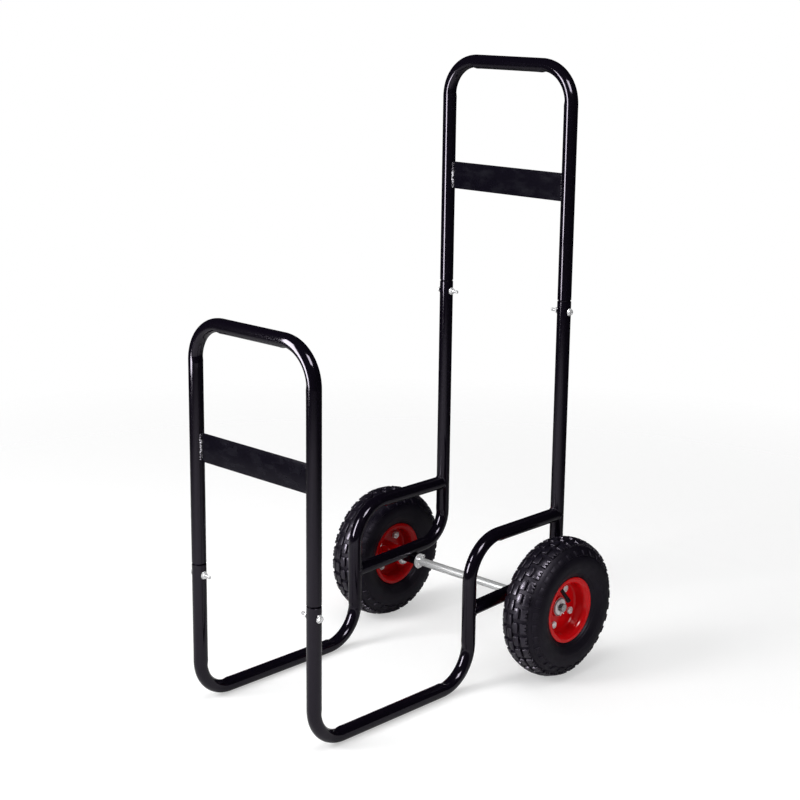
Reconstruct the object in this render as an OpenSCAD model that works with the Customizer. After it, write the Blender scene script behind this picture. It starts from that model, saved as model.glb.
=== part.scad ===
// Two-wheeled firewood rack made of bent tube, with a front hoop, a tall rear hoop and air-filled wheels.
// Lengths are in millimetres. X runs across the rack, Y from front to rear and Z up.
// The origin is on the floor, under the middle of the whole object.

/* [Frame] */
// Distance between the centre lines of the left and the right side tubes
frame_w = 295; // [240:1:360]
// Distance from the front legs to the rear posts
deck_len = 644; // [600:1:700]
// Distance from the front legs to the middle posts
mid_post_back = 392; // [340:1:420]
// Height of the front hoop's top bar, to its centre line
front_top_z = 702; // [640:1:800]
// Height of the rear hoop's top bar, to its centre line
rear_top_z = 1122; // [1060:1:1250]
// Height of the upper rails that join the middle posts to the rear posts
upper_rail_z = 277; // [262:1:300]
// Slope of the axle rails, down towards the front, in degrees
axle_rail_slope = 2.5; // [0:0.5:4]

/* [Tube] */
// Outside diameter of all frame tubes
tube_d = 26; // [24:0.5:28]
// Wall thickness of the frame tubes
tube_wall = 1.5; // [1.2:0.1:2]
// Bend radius at the front feet, to the tube's centre line
foot_r = 63; // [55:1:75]
// Bend radius between the floor run and the middle post
heel_r = 72; // [60:1:80]
// Bend radius between the middle post and the upper rail
rail_r = 78; // [62:1:80]
// Bend radius between the rear post and the axle rail
tail_r = 61; // [50:1:70]
// Bend radius of the front hoop's corners
front_hoop_r = 69; // [55:1:80]
// Bend radius of the rear hoop's corners
rear_hoop_r = 67; // [55:1:80]

/* [Hoop joints] */
// Height at which the front hoop plugs into the front legs
front_joint_z = 262; // [220:1:300]
// Height at which the rear hoop plugs into the rear posts
rear_joint_z = 692; // [640:1:740]
// Length of the reduced end that slides into the tube below
spigot_len = 45; // [35:1:60]
// Height of the tapered neck above each joint
neck_h = 3; // [2:0.5:5]
// Distance from the joint down to its bolt
bolt_drop = 19; // [14:1:24]
// Diameter of the joint bolts
joint_bolt_d = 6; // [5:0.5:8]
// Length of bolt that sticks out past the nut
joint_stick_out = 11; // [4:1:16]

/* [Crossbars] */
// Height of the flat crossbars
bar_h = 52; // [40:1:60]
// Thickness of the flat crossbars
bar_t = 3; // [2:0.5:5]
// Distance from the front hoop's top bar down to the middle of its crossbar
front_bar_drop = 223; // [180:1:260]
// Distance from the rear hoop's top bar down to the middle of its crossbar
rear_bar_drop = 219; // [180:1:260]

/* [Axle] */
// Diameter of the axle rod
axle_d = 16; // [14:0.5:18]
// Distance from the front legs back to the axle
axle_back = 557; // [530:1:580]
// Outside diameter of the sleeves that hold the axle under the rails
sleeve_d = 20; // [19.5:0.5:24]
// Length of sleeve that stands in past the side tube
sleeve_in = 4; // [2:0.5:10]
// Outside diameter of the axle washers
washer_d = 30; // [26:1:34]
// Thickness of the axle washers
washer_t = 2; // [1.5:0.5:3]
// Diameter of the split pins
pin_d = 3.2; // [2.5:0.1:4]
// Lean of the inner split pins towards the rear, in degrees
inner_pin_lean = 48; // [0:1:90]
// Lean of the outer split pins towards the front, in degrees
outer_pin_lean = 7; // [0:1:90]
// Length of axle left outside the outer split pins
axle_end = 5; // [4:0.5:10]

/* [Wheels] */
// Radius of the wheels over the tread blocks
wheel_r = 133; // [130:1:145]
// Width of the tyres
tyre_w = 86; // [80:1:90]
// Gap between the side tubes and the tyres
tyre_gap = 19.5; // [12:0.5:30]
// Height of the tread blocks
lug_h = 4.5; // [3:0.5:5]
// Number of tread blocks in each row
lug_count = 30; // [24:2:36]
// Radius of the bead seat of the rims
seat_r = 50.8; // [50:0.1:52]
// Thickness of the pressed rim sheet
sheet_t = 2; // [1.5:0.1:2.5]
// Radius of the rim flange, to the middle of its rounded lip
flange_r = 62; // [61:0.5:63]
// Distance of the rim flange from the middle of the wheel
flange_u = 30; // [29:0.5:31]
// Pitch circle diameter of the rim bolts
rim_bolt_pcd = 71.5; // [68:0.5:74]
// Diameter of the rim bolts
rim_bolt_d = 8; // [6:0.5:8]
// Number of rim bolts
rim_bolt_count = 4; // [3:1:6]
// Length of the hub
hub_len = 57; // [54:1:60]
// Distance that the hub stands out from the middle of the wheel
hub_out = 6; // [6:0.5:12]
// Outside diameter of the hub bearings
bearing_d = 35; // [32:1:37]
// Width of the hub bearings
bearing_w = 11; // [9:0.5:13]
// Angle to which the right wheel is turned
right_turn = 64; // [0:1:90]
// Angle to which the left wheel is turned
left_turn = 54; // [0:1:90]

/* [Valves] */
// Angle from a rim bolt to the valve stem
valve_angle = 42; // [20:1:70]
// Diameter of the rubber valve stems
stem_d = 7.5; // [6:0.5:8]
// Length of the stem inside the wheel's dish
stem_len = 34.5; // [32:0.5:36]
// Lean of the stem out of the dish, in degrees
stem_lean = 32; // [28:1:36]

/* [Hidden] */
$fn = 64;

// Clearances
weld_gap = 0.1;
slide_gap = 0.15;
seat_gap = 0.3;
bolt_gap = 0.2;
bearing_gap = 0.05;
cut_over = 1;
bend_swell = 0.2;
bend_reach = 0.4;

// Frame places
tube_r = tube_d / 2;
bore_d = tube_d - 2 * tube_wall;
side_x = frame_w / 2;
back_reach = max(axle_back + wheel_r, deck_len + tube_r);
y_front = -(back_reach - tube_r) / 2;
y_mid = y_front + mid_post_back;
y_rear = y_front + deck_len;
axle_y = y_front + axle_back;
axle_z = wheel_r;
rail_over_axle = (sleeve_d / 2 + tube_r + weld_gap) / cos(axle_rail_slope);
rail_end_z = axle_z + rail_over_axle - (axle_y - y_mid) * tan(axle_rail_slope);
tail_end_y = y_rear - tail_r + tail_r * sin(axle_rail_slope);
tail_end_z = axle_z + rail_over_axle + (tail_end_y - axle_y) * tan(axle_rail_slope);
tail_centre_z = tail_end_z + tail_r * cos(axle_rail_slope);
front_bar_z = front_top_z - front_bar_drop;
rear_bar_z = rear_top_z - rear_bar_drop;

// Joint sizes
spigot_d = bore_d - 2 * slide_gap;
spigot_bore_d = spigot_d - 2 * tube_wall;
stub_chamfer = 1;
hex_ratio = 1 / cos(30);
joint_head_w = joint_bolt_d * 1.65;
joint_head_h = joint_bolt_d * 0.75;
joint_nut_h = joint_bolt_d * 0.85;

// Axle places
wheel_x = side_x + tube_r + tyre_gap + tyre_w / 2;
hub_outer_x = wheel_x + hub_out;
hub_inner_x = hub_outer_x - hub_len;
sleeve_inner_x = side_x - tube_r - sleeve_in;
sleeve_outer_x = hub_inner_x - washer_t - 2 * seat_gap;
inner_washer_x = sleeve_inner_x - seat_gap - washer_t;
thrust_washer_x = hub_inner_x - seat_gap - washer_t;
outer_washer_x = hub_outer_x + seat_gap;
inner_pin_x = inner_washer_x - seat_gap - pin_d / 2;
outer_pin_x = outer_washer_x + washer_t + seat_gap + pin_d / 2;
axle_half = outer_pin_x + pin_d / 2 + axle_end;
axle_bore_d = axle_d + 2 * bolt_gap;
pin_eye_r = 4;
pin_wire_d = 2.2;
pin_leg_len = 7;
pin_leg_angle = 32;

// Rim shape, with u along the axle from the middle of the wheel
hub_flange_t = 3;
disc_u = hub_flange_t / 2 + weld_gap + sheet_t / 2;
corner_r = 6;
wall_r = seat_r - sheet_t / 2;
flange_bend_r = 9.5;
flange_bend_u = flange_u - flange_bend_r;
hub_wall = 2;
hub_d = bearing_d + 2 * slide_gap + 2 * hub_wall;
hub_step = 2;
hub_flange_d = rim_bolt_pcd + 18;
rim_hex_w = rim_bolt_d * 1.6;
rim_head_h = rim_bolt_d * 0.5;
rim_nut_h = rim_bolt_d * 0.8;
rim_bolt_stick_out = 3;
disc_face_u = disc_u + sheet_t / 2 + weld_gap;

// Tyre shape
crown_top = wheel_r - lug_h;
crown_r = 55;
belly_r = wheel_r - 39;
shoulder_r = 27;
sidewall_r = 41.5;
tread_half = tyre_w / 2 - 15;
tread_wall = 7;
side_wall = 5;
bead_r = flange_bend_r - sheet_t / 2 - seat_gap;
bead_centre_r = wall_r + flange_bend_r;
bead_inner_u = 15;
bead_top = bead_centre_r + 5;

// Tread blocks, with leans measured from the middle of the tread
lug_len = 0.7 * 2 * PI * wheel_r / lug_count;
lug_root = 2.5;
middle_lug_w = 10.5;
middle_lug_lean = 6.7;
side_lug_w = 12.6;
side_lug_h = lug_h - 0.5;
side_lug_lean = asin((tread_half - 5.7) / (crown_r + side_lug_h));
shoulder_lug_w = 14;
shoulder_lug_h = 1.3;
shoulder_lug_lean = 55.5;
tread_turn = 2.4;

// Inner tube shape
tube_section_r = 29.4;
tube_wall_t = 2;
tube_centre_r = crown_top - tread_wall - seat_gap - tube_section_r;
stem_u = 12;
stem_root = 18;
stem_bore_d = 2.5;
cap_d = stem_d + 1.5;
cap_len = 9;
cap_cover = 6;

// Building blocks for bent tube

// Upright length of round bar at y, in the plane of one side
module upright(d, y, z0, z1) {
  translate([0, y, z0]) cylinder(d = d, h = z1 - z0);
}

// Level length of round bar from y0 to y1, in the plane of one side
module level(d, y0, y1, z) {
  translate([0, y0, z]) rotate([-90, 0, 0]) cylinder(d = d, h = y1 - y0);
}

// Bend about (y, z), which starts at an angle measured from +Y towards +Z
module side_bend(d, r, y, z, start, turn = 90) {
  translate([0, y, z]) rotate([90, 0, 90]) rotate([0, 0, start])
    rotate_extrude(angle = turn) translate([r, 0]) circle(d = d);
}

// Quarter bend about (x, z) in a plane across the rack, which starts from +X towards +Z
module cross_bend(d, r, x, z, start) {
  translate([x, 0, z]) rotate([90, 0, 0]) rotate([0, 0, start])
    rotate_extrude(angle = 90) translate([r, 0]) circle(d = d);
}

// Round hole or bar along X, centred on x = 0
module across(d, len) {
  rotate([0, 90, 0]) cylinder(d = d, h = len, center = true);
}

// Places a piece on both sides of the rack, the left one mirrored
module both_sides(x) {
  translate([x, 0, 0]) children();
  mirror([1, 0, 0]) translate([x, 0, 0]) children();
}

// Ring that takes the outer edge off the top of an open tube
module top_chamfer(y, z) {
  translate([0, y, z - stub_chamfer]) difference() {
    cylinder(d = tube_d + 2 * cut_over, h = stub_chamfer + cut_over);
    translate([0, 0, -cut_over])
      cylinder(d1 = tube_d + 2 * cut_over, d2 = tube_d - 2 * stub_chamfer - 2 * cut_over,
        h = stub_chamfer + 2 * cut_over);
  }
}

// Side rails: front leg, foot, floor run, middle post and upper rail in one bent tube

module side_rail_path(d, over) {
  upright(d, y_front, tube_r + foot_r, front_joint_z + over);
  side_bend(d, foot_r, y_front + foot_r, tube_r + foot_r, 180);
  level(d, y_front + foot_r, y_mid - heel_r, tube_r);
  side_bend(d, heel_r, y_mid - heel_r, tube_r + heel_r, 270);
  upright(d, y_mid, tube_r + heel_r, upper_rail_z - rail_r);
  side_bend(d, rail_r, y_mid + rail_r, upper_rail_z - rail_r, 90);
  level(d, y_mid + rail_r, y_rear, upper_rail_z);
}

module side_rail() {
  color("#141416") difference() {
    side_rail_path(tube_d, 0);
    side_rail_path(bore_d, cut_over);
    upright(tube_d + 2 * weld_gap, y_rear, upper_rail_z - tube_d, upper_rail_z + tube_d);
    top_chamfer(y_front, front_joint_z);
    translate([0, y_front, front_joint_z - bolt_drop])
      across(joint_bolt_d + 2 * bolt_gap, 2 * tube_d);
  }
}

// Rear posts: upright post, tail bend and sloping axle rail in one bent tube. The bend is a hair wider than
// the straights, which reach a little into it.

module rear_post_path(d, over) {
  upright(d, y_rear, tail_centre_z - bend_reach, rear_joint_z + over);
  side_bend(d + bend_swell, tail_r, y_rear - tail_r, tail_centre_z, 270 + axle_rail_slope,
    90 - axle_rail_slope);
  translate([0, tail_end_y, tail_end_z]) rotate([90 + axle_rail_slope, 0, 0])
    translate([0, 0, -bend_reach])
      cylinder(d = d, h = bend_reach + (tail_end_y - y_mid) / cos(axle_rail_slope));
}

module rear_post() {
  color("#141416") difference() {
    rear_post_path(tube_d, 0);
    rear_post_path(bore_d, cut_over);
    upright(tube_d + 2 * weld_gap, y_mid, rail_end_z - tube_d, rail_end_z + tube_d);
    top_chamfer(y_rear, rear_joint_z);
    translate([0, y_rear, rear_joint_z - bolt_drop])
      across(joint_bolt_d + 2 * bolt_gap, 2 * tube_d);
  }
}

// Hoops: inverted U of tube with a reduced end on each leg

module hoop_path(d, r, top_z, joint_z) {
  for (s = [-1, 1]) {
    translate([s * side_x, 0, joint_z + neck_h]) cylinder(d = d, h = top_z - r - joint_z - neck_h);
  }
  cross_bend(d, r, side_x - r, top_z - r, 0);
  cross_bend(d, r, r - side_x, top_z - r, 90);
  translate([0, 0, top_z]) across(d, frame_w - 2 * r);
}

// Neck and reduced end of one leg, solid, with its own diameters
module leg_end(neck_d, end_d, joint_z, over) {
  translate([0, 0, joint_z]) cylinder(d1 = end_d, d2 = neck_d, h = neck_h);
  translate([0, 0, joint_z - spigot_len - over]) cylinder(d = end_d, h = spigot_len + over);
}

module hoop(y, r, top_z, joint_z) {
  color("#141416") translate([0, y, 0]) difference() {
    union() {
      hoop_path(tube_d, r, top_z, joint_z);
      for (s = [-1, 1]) translate([s * side_x, 0, 0]) leg_end(tube_d, spigot_d, joint_z, 0);
    }
    hoop_path(bore_d, r, top_z, joint_z);
    for (s = [-1, 1]) translate([s * side_x, 0, 0]) {
      leg_end(bore_d, spigot_bore_d, joint_z, cut_over);
      translate([0, 0, joint_z - bolt_drop]) across(joint_bolt_d + 2 * bolt_gap, 2 * tube_d);
    }
  }
}

module front_hoop() {
  hoop(y_front, front_hoop_r, front_top_z, front_joint_z);
}

module rear_hoop() {
  hoop(y_rear, rear_hoop_r, rear_top_z, rear_joint_z);
}

// Crossbars: flat bars welded between the legs of each hoop

module crossbar(y, z) {
  color("#18181a") translate([0, y, z])
    cube([frame_w - tube_d - 2 * weld_gap, bar_t, bar_h], center = true);
}

module front_crossbar() {
  crossbar(y_front, front_bar_z);
}

module rear_crossbar() {
  crossbar(y_rear, rear_bar_z);
}

// Joint fasteners, with the head outside and the nut inside

module joint_bolt() {
  head_x = tube_r + weld_gap;
  tip_x = -(tube_r + weld_gap + joint_nut_h + joint_stick_out);
  color("#c9ccd0") rotate([0, 90, 0]) {
    translate([0, 0, head_x]) cylinder(d = joint_head_w * hex_ratio, h = joint_head_h, $fn = 6);
    translate([0, 0, tip_x]) cylinder(d = joint_bolt_d, h = head_x - tip_x + cut_over);
  }
}

module joint_nut() {
  color("#c9ccd0") rotate([0, -90, 0]) translate([0, 0, tube_r + weld_gap]) difference() {
    cylinder(d = joint_head_w * hex_ratio, h = joint_nut_h, $fn = 6);
    translate([0, 0, -cut_over]) cylinder(d = joint_bolt_d + 2 * weld_gap, h = joint_nut_h + 2 * cut_over);
  }
}

module front_joint_bolts() {
  both_sides(side_x) translate([0, y_front, front_joint_z - bolt_drop]) joint_bolt();
}

module front_joint_nuts() {
  both_sides(side_x) translate([0, y_front, front_joint_z - bolt_drop]) joint_nut();
}

module rear_joint_bolts() {
  both_sides(side_x) translate([0, y_rear, rear_joint_z - bolt_drop]) joint_bolt();
}

module rear_joint_nuts() {
  both_sides(side_x) translate([0, y_rear, rear_joint_z - bolt_drop]) joint_nut();
}

// Axle, its sleeves, washers and split pins

// Ring with a hole for the axle, from x along +X
module axle_ring(x, len, d, hole_d) {
  translate([x, axle_y, axle_z]) rotate([0, 90, 0]) difference() {
    cylinder(d = d, h = len);
    translate([0, 0, -cut_over]) cylinder(d = hole_d, h = len + 2 * cut_over);
  }
}

module axle_sleeve() {
  color("#141416") axle_ring(sleeve_inner_x, sleeve_outer_x - sleeve_inner_x, sleeve_d, axle_bore_d);
}

module axle() {
  chamfer = 1;
  color("#b9bcc0") translate([0, axle_y, axle_z]) difference() {
    rotate([0, 90, 0]) {
      cylinder(d = axle_d, h = 2 * (axle_half - chamfer), center = true);
      for (s = [0, 1]) mirror([0, 0, s]) translate([0, 0, axle_half - chamfer])
        cylinder(d1 = axle_d, d2 = axle_d - 2 * chamfer, h = chamfer);
    }
    both_sides(inner_pin_x) rotate([-inner_pin_lean, 0, 0])
      cylinder(d = pin_d + 2 * bolt_gap, h = 2 * axle_d, center = true);
    both_sides(outer_pin_x) rotate([outer_pin_lean, 0, 0])
      cylinder(d = pin_d + 2 * bolt_gap, h = 2 * axle_d, center = true);
  }
}

module washer_pair(x) {
  color("#c9ccd0") both_sides(0) axle_ring(x, washer_t, washer_d, axle_bore_d);
}

// Split pin with its eye above the axle and its two legs spread below it
module split_pin() {
  eye_z = axle_d / 2 + seat_gap + pin_eye_r;
  fork_z = -axle_d / 2 - pin_d / 2;
  color("#c9ccd0") {
    translate([0, 0, eye_z]) rotate([90, 0, 90])
      rotate_extrude() translate([pin_eye_r - pin_wire_d / 2, 0]) circle(d = pin_wire_d);
    translate([0, 0, fork_z]) cylinder(d = pin_d, h = eye_z - fork_z - pin_eye_r + pin_wire_d);
    for (s = [-1, 1]) translate([0, 0, fork_z]) rotate([180 + s * pin_leg_angle, 0, 0])
      cylinder(d = pin_wire_d, h = pin_leg_len);
    translate([0, 0, fork_z]) sphere(d = pin_d);
  }
}

// Split pins on both sides, turned about the axle by a lean towards the front
module split_pin_pair(x, lean) {
  both_sides(x) translate([0, axle_y, axle_z]) rotate([lean, 0, 0]) split_pin();
}

// Wheel pieces, drawn about the wheel's own centre with +X pointing outwards

// Turns a section drawn as (radius, u) about the axle
module turned() {
  rotate([90, 0, 90]) rotate_extrude() children();
}

// Puts a wheel piece on its side of the rack
module on_wheel(side, turn) {
  translate([side * wheel_x, axle_y, axle_z]) mirror([side < 0 ? 1 : 0, 0, 0])
    rotate([turn, 0, 0]) children();
}

// Repeats a piece at each rim bolt
module at_rim_bolts() {
  for (i = [0 : rim_bolt_count - 1]) {
    rotate([i * 360 / rim_bolt_count, 0, 0]) translate([0, rim_bolt_pcd / 2, 0]) children();
  }
}

// One quarter of a bent sheet in a section, about (r, u)
module sheet_bend(r, u, bend_r, dir_r, dir_u) {
  translate([r, u]) intersection() {
    difference() {
      circle(r = bend_r + sheet_t / 2);
      circle(r = bend_r - sheet_t / 2);
    }
    scale([dir_r, dir_u]) square(2 * bend_r);
  }
}

// Section of a rim half: flat disc, rounded corner, bead seat, flange and rounded lip
module rim_section() {
  corner_centre_r = wall_r - corner_r;
  hole_r = hub_d / 2 + slide_gap;
  translate([hole_r, disc_u - sheet_t / 2]) square([corner_centre_r - hole_r, sheet_t]);
  sheet_bend(corner_centre_r, disc_u + corner_r, corner_r, 1, -1);
  translate([wall_r - sheet_t / 2, disc_u + corner_r])
    square([sheet_t, flange_bend_u - disc_u - corner_r]);
  sheet_bend(bead_centre_r, flange_bend_u, flange_bend_r, -1, 1);
  translate([bead_centre_r, flange_u - sheet_t / 2]) square([flange_r - bead_centre_r, sheet_t]);
  translate([flange_r, flange_u]) circle(d = sheet_t);
}

module rim_half() {
  difference() {
    turned() rim_section();
    at_rim_bolts() across(rim_bolt_d + 2 * bolt_gap, 4 * disc_u);
  }
}

// Axis of the valve stem, which starts at the bead seat and leans out of the dish
module on_stem() {
  rotate([valve_angle, 0, 0]) translate([stem_u, wall_r, 0]) rotate([0, 0, stem_lean])
    rotate([90, 0, 0]) children();
}

module outer_rim() {
  color("#b01218") difference() {
    rim_half();
    on_stem() cylinder(d = stem_d + 2 * bolt_gap, h = 4 * sheet_t, center = true);
  }
}

module inner_rim() {
  color("#b01218") mirror([1, 0, 0]) rim_half();
}

module hub() {
  bore_r = bearing_d / 2 + slide_gap;
  inner_u = hub_out - hub_len;
  color("#9c1016") difference() {
    turned() {
      translate([bore_r, inner_u]) square([hub_wall, hub_len]);
      translate([bore_r - hub_step, inner_u + bearing_w])
        square([hub_step + hub_wall / 2, hub_len - 2 * bearing_w]);
      translate([bore_r + hub_wall / 2, -hub_flange_t / 2])
        square([hub_flange_d / 2 - bore_r - hub_wall / 2, hub_flange_t]);
    }
    at_rim_bolts() across(rim_bolt_d + 2 * bolt_gap, 4 * disc_u);
  }
}

// Section of a bearing with a shallow shield recess in each face
module bearing_section() {
  bore_r = axle_d / 2 + bearing_gap;
  race = (bearing_d / 2 - bore_r) / 4;
  recess = 0.6;
  difference() {
    translate([bore_r, 0]) square([bearing_d / 2 - bore_r, bearing_w]);
    for (u = [-cut_over, bearing_w - recess]) {
      translate([bore_r + race, u]) square([2 * race, cut_over + recess]);
    }
  }
}

module bearings() {
  color("#8d9094") for (u = [hub_out - bearing_w, hub_out - hub_len]) {
    translate([u, 0, 0]) turned() bearing_section();
  }
}

module rim_bolts() {
  shank_end = -disc_face_u - rim_nut_h - rim_bolt_stick_out;
  color("#c9ccd0") at_rim_bolts() rotate([0, 90, 0]) {
    translate([0, 0, disc_face_u]) cylinder(d = rim_hex_w * hex_ratio, h = rim_head_h, $fn = 6);
    translate([0, 0, shank_end]) cylinder(d = rim_bolt_d, h = disc_face_u - shank_end + cut_over);
  }
}

module rim_nuts() {
  color("#c9ccd0") at_rim_bolts() rotate([0, -90, 0]) translate([0, 0, disc_face_u]) difference() {
    cylinder(d = rim_hex_w * hex_ratio, h = rim_nut_h, $fn = 6);
    translate([0, 0, -cut_over]) cylinder(d = rim_bolt_d + 2 * weld_gap, h = rim_nut_h + 2 * cut_over);
  }
}

// Rounded outline of the tyre from its widest place up to the tread, made smaller by a wall
module tread_outline(top_cut, side_cut) {
  half = tyre_w / 2 - side_cut;
  round_r = shoulder_r - side_cut;
  flat = tread_half - side_cut;
  intersection() {
    translate([crown_top - crown_r, 0]) circle(r = crown_r - top_cut, $fn = 96);
    translate([belly_r, -half]) square([crown_top - belly_r, 2 * half]);
    union() {
      for (s = [-1, 1]) translate([belly_r, s * (half - round_r)]) circle(r = round_r);
      translate([belly_r, -flat]) square([crown_top - belly_r, 2 * flat]);
    }
  }
}

// Lower sidewalls from the widest place down to a radius, made smaller by a wall
module sidewall_outline(low_r, side_cut) {
  centre_u = tyre_w / 2 - sidewall_r;
  intersection() {
    translate([belly_r, centre_u]) circle(r = sidewall_r - side_cut, $fn = 96);
    translate([belly_r, -centre_u]) circle(r = sidewall_r - side_cut, $fn = 96);
    translate([low_r, -tyre_w / 2]) square([belly_r - low_r, tyre_w]);
  }
}

module tyre_section() {
  difference() {
    union() {
      tread_outline(0, 0);
      sidewall_outline(bead_centre_r, 0);
      for (s = [-1, 1]) translate([bead_centre_r, s * flange_bend_u]) circle(r = bead_r);
    }
    tread_outline(tread_wall, side_wall);
    sidewall_outline(bead_top, side_wall);
    translate([0, -bead_inner_u]) square([bead_top + cut_over, 2 * bead_inner_u]);
  }
}

// Ring of tread blocks that lean out on a rounded surface of radius round_r about (u, r)
module lug_row(u, r, round_r, lean, height, width, len, first) {
  block_h = height + lug_root;
  for (i = [0 : lug_count - 1]) {
    rotate([first + i * 360 / lug_count, 0, 0]) translate([u, r, 0]) rotate([0, 0, -lean])
      translate([0, round_r + height - block_h / 2, 0]) cube([width, block_h, len], center = true);
  }
}

// Middle, side and shoulder rows of blocks on one half of the tread
module half_tread(first) {
  shoulder_u = tyre_w / 2 - shoulder_r;
  lug_row(0, crown_top - crown_r, crown_r, middle_lug_lean, lug_h, middle_lug_w, lug_len, first);
  lug_row(0, crown_top - crown_r, crown_r, side_lug_lean, side_lug_h, side_lug_w, lug_len, first);
  lug_row(shoulder_u, belly_r, shoulder_r, shoulder_lug_lean, shoulder_lug_h, shoulder_lug_w,
    0.87 * lug_len, first);
}

// The two halves of the tread stand half a step apart
module tyre() {
  color("#1b1b1d") {
    turned() tyre_section();
    half_tread(tread_turn);
    mirror([1, 0, 0]) half_tread(tread_turn + 180 / lug_count);
  }
}

// Air tube with its rubber valve stem
module inner_tube() {
  color("#232325") difference() {
    union() {
      turned() translate([tube_centre_r, 0]) circle(r = tube_section_r);
      on_stem() translate([0, 0, -stem_root]) cylinder(d = stem_d, h = stem_root + stem_len);
    }
    turned() translate([tube_centre_r, 0]) circle(r = tube_section_r - tube_wall_t);
    on_stem() translate([0, 0, -stem_root - cut_over])
      cylinder(d = stem_bore_d, h = stem_root + stem_len + 2 * cut_over);
  }
}

module valve_cap() {
  cap_start = stem_len - cap_cover;
  color("#101012") on_stem() difference() {
    translate([0, 0, cap_start]) cylinder(d1 = cap_d, d2 = cap_d - 1, h = cap_len);
    translate([0, 0, cap_start - cut_over])
      cylinder(d = stem_d + 2 * slide_gap, h = cap_cover + cut_over + seat_gap);
  }
}

translate([-side_x, 0, 0]) side_rail();  // left_side_rail
translate([side_x, 0, 0]) side_rail();  // right_side_rail
translate([-side_x, 0, 0]) rear_post();  // left_rear_post
translate([side_x, 0, 0]) rear_post();  // right_rear_post
front_hoop();
rear_hoop();
front_crossbar();
rear_crossbar();
mirror([1, 0, 0]) axle_sleeve();  // left_axle_sleeve
axle_sleeve();  // right_axle_sleeve
front_joint_bolts();
front_joint_nuts();
rear_joint_bolts();
rear_joint_nuts();
axle();
washer_pair(inner_washer_x);  // inner_washers
split_pin_pair(inner_pin_x, -inner_pin_lean);  // inner_split_pins
washer_pair(thrust_washer_x);  // thrust_washers
washer_pair(outer_washer_x);  // outer_washers
split_pin_pair(outer_pin_x, outer_pin_lean);  // outer_split_pins
on_wheel(-1, 0) tyre();  // left_tyre
on_wheel(-1, left_turn) inner_tube();  // left_inner_tube
on_wheel(-1, left_turn) outer_rim();  // left_outer_rim
on_wheel(-1, left_turn) inner_rim();  // left_inner_rim
on_wheel(-1, left_turn) hub();  // left_hub
on_wheel(-1, left_turn) bearings();  // left_bearings
on_wheel(-1, left_turn) rim_bolts();  // left_rim_bolts
on_wheel(-1, left_turn) rim_nuts();  // left_rim_nuts
on_wheel(-1, left_turn) valve_cap();  // left_valve_cap
on_wheel(1, 0) tyre();  // right_tyre
on_wheel(1, right_turn) inner_tube();  // right_inner_tube
on_wheel(1, right_turn) outer_rim();  // right_outer_rim
on_wheel(1, right_turn) inner_rim();  // right_inner_rim
on_wheel(1, right_turn) hub();  // right_hub
on_wheel(1, right_turn) bearings();  // right_bearings
on_wheel(1, right_turn) rim_bolts();  // right_rim_bolts
on_wheel(1, right_turn) rim_nuts();  // right_rim_nuts
on_wheel(1, right_turn) valve_cap();  // right_valve_cap
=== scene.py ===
"""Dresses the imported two-wheeled firewood rack: tube, welds, fasteners, tyres, materials and light.

Sizes are in millimetres up to mesh_object(), which turns them into metres. In fasteners and wheels,
u runs along the bolt or axle and r away from it.
"""
import math
import random

import bmesh
import bpy
from mathutils import Matrix, Vector


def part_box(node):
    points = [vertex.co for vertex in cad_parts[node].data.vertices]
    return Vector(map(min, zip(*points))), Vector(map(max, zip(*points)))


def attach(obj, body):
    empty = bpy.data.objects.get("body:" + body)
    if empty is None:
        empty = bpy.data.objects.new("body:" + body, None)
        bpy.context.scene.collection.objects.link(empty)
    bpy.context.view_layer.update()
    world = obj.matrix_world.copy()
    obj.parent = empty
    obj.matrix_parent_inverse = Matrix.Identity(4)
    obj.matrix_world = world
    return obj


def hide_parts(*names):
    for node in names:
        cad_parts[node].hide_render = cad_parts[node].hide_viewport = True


MM = 0.001
SIDES = (("left", -1), ("right", 1))

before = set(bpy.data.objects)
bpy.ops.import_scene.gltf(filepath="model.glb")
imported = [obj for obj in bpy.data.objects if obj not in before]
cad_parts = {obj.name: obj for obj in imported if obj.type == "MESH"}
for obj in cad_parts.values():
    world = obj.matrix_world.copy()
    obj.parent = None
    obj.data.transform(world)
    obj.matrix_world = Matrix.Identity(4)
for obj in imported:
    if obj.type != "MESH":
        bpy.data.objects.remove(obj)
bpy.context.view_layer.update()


def node_box(name):
    """Lowest and highest corner of a CAD node, in millimetres."""
    low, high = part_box(name)
    return low / MM, high / MM


# Sizes of the CAD that its boxes don't give

TUBE_WALL = 1.5
SLIDE_GAP = 0.15  # round a reduced end
PIECE_GAP = 0.1  # between neighbouring pieces
SEAT_GAP = 0.3  # beside a washer
MID_POST_BACK = 392  # from the front legs
SLOPE = math.radians(2.5)  # of the axle rails
FOOT_R, HEEL_R, RAIL_R, TAIL_R = 63, 72, 78, 61
FRONT_HOOP_R, REAR_HOOP_R = 69, 67
NECK_H, BOLT_DROP = 3, 19  # above and below each joint
JOINT_NUT_H, BOLT_STICK_OUT = 5.1, 11
SLEEVE_IN = 4  # of a sleeve, past its tube
WASHER_T = 2.0
HUB_OUT, HUB_IN = 6, 51  # from the wheel's middle plane to the ends of the hub
RIM_BOLT_R = 35.75
WHEEL_TURNS = {"left": 54, "right": 64}
VALVE_ANGLE, STEM_LEAN, STEM_LEN = 42, 32, 34.5

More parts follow.
